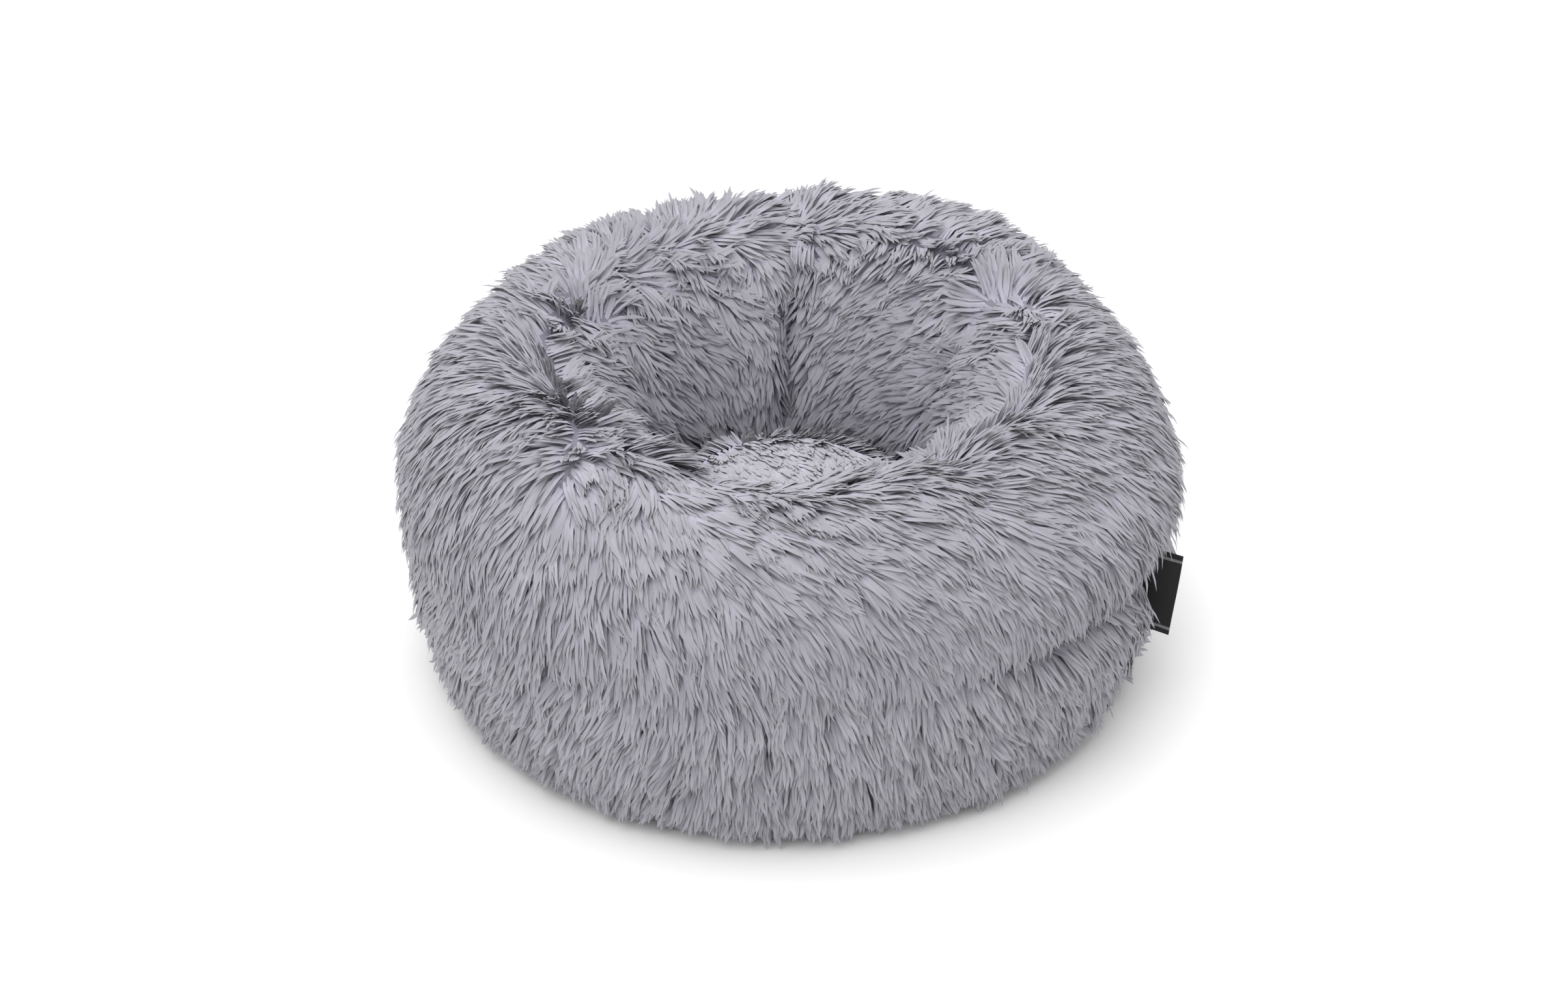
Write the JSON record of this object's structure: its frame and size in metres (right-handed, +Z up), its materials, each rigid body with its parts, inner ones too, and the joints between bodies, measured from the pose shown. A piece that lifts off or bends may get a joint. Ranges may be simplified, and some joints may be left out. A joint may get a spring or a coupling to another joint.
{
  "type": "pet cushion bed",
  "caption": "Round long-pile plush pet bed: a stuffed ring with a flared well, a loose seat cushion, a zipped non-slip base and a side label.",
  "frame": {"origin": "centre of the underside, on the floor", "axes": "+Z up; the front faces -Y; the zip runs along X; the side label is at the front right, 23 degrees from +X towards -Y"},
  "size_m": [0.54, 0.54, 0.254],
  "materials": {
    "long_pile": "long shaggy plush, light cool grey",
    "liner_fabric": "non-woven, matte white",
    "fibre_fill": "loose polyester fibre, matte white",
    "foam": "open-cell foam, matte off-white",
    "base_fabric": "woven polyester, matte grey",
    "grip_dots": "soft grip dots, matte dark grey",
    "binding_tape": "woven twill tape, matte grey",
    "zip_tape": "woven tape, matte grey",
    "zip_teeth": "moulded, matte grey",
    "zip_metal": "enamelled, satin grey",
    "label_satin": "woven satin, soft sheen black"
  },
  "bodies": {
    "bed": {"bolster_fill": "fibre_fill", "bolster_liner": "liner_fabric", "rim_panel_right": "long_pile", "rim_panel_back_right": "long_pile", "rim_panel_back_left": "long_pile", "rim_panel_left": "long_pile", "rim_panel_front": "long_pile", "wall_panel_front": "long_pile", "wall_panel_back": "long_pile", "inner_wall_panel": "long_pile", "well_floor_panel": "base_fabric", "base_panel_front": "base_fabric", "base_panel_back": "base_fabric", "anti_slip_dots": "grip_dots", "base_binding": "binding_tape", "base_pad": "foam", "zip_tape_front": "zip_tape", "zip_tape_back": "zip_tape", "zip_teeth_front": "zip_teeth", "zip_teeth_back": "zip_teeth", "zip_stops": "zip_teeth"},
    "seat_cushion": {"cushion_top_panel": "long_pile", "cushion_base_panel": "base_fabric", "cushion_fill": "fibre_fill"},
    "slider": {"zip_slider": "zip_metal"},
    "pull": {"zip_pull": "zip_metal"},
    "label": {"side_label": "label_satin"}
  },
  "joints": [
    {"name": "cushion_lift", "type": "slide", "parent": "bed", "child": "seat_cushion", "axis": [0, 0, 1], "range_m": [0, 0.26]},
    {"name": "zip_slide", "type": "slide", "parent": "bed", "child": "slider", "axis": [-1, 0, 0], "range_m": [0, 0.286]},
    {"name": "pull_flip", "type": "hinge", "parent": "slider", "child": "pull", "pos_m": [0.143, 0, 0.0059], "axis": [0, -1, 0], "range_deg": [0, 175]},
    {"name": "label_swing", "type": "hinge", "parent": "bed", "child": "label", "pos_m": [0.23151, -0.09827, 0.11], "axis": [0.0802, -0.0341, 0.9962], "range_deg": [-25, 25]}
  ]
}
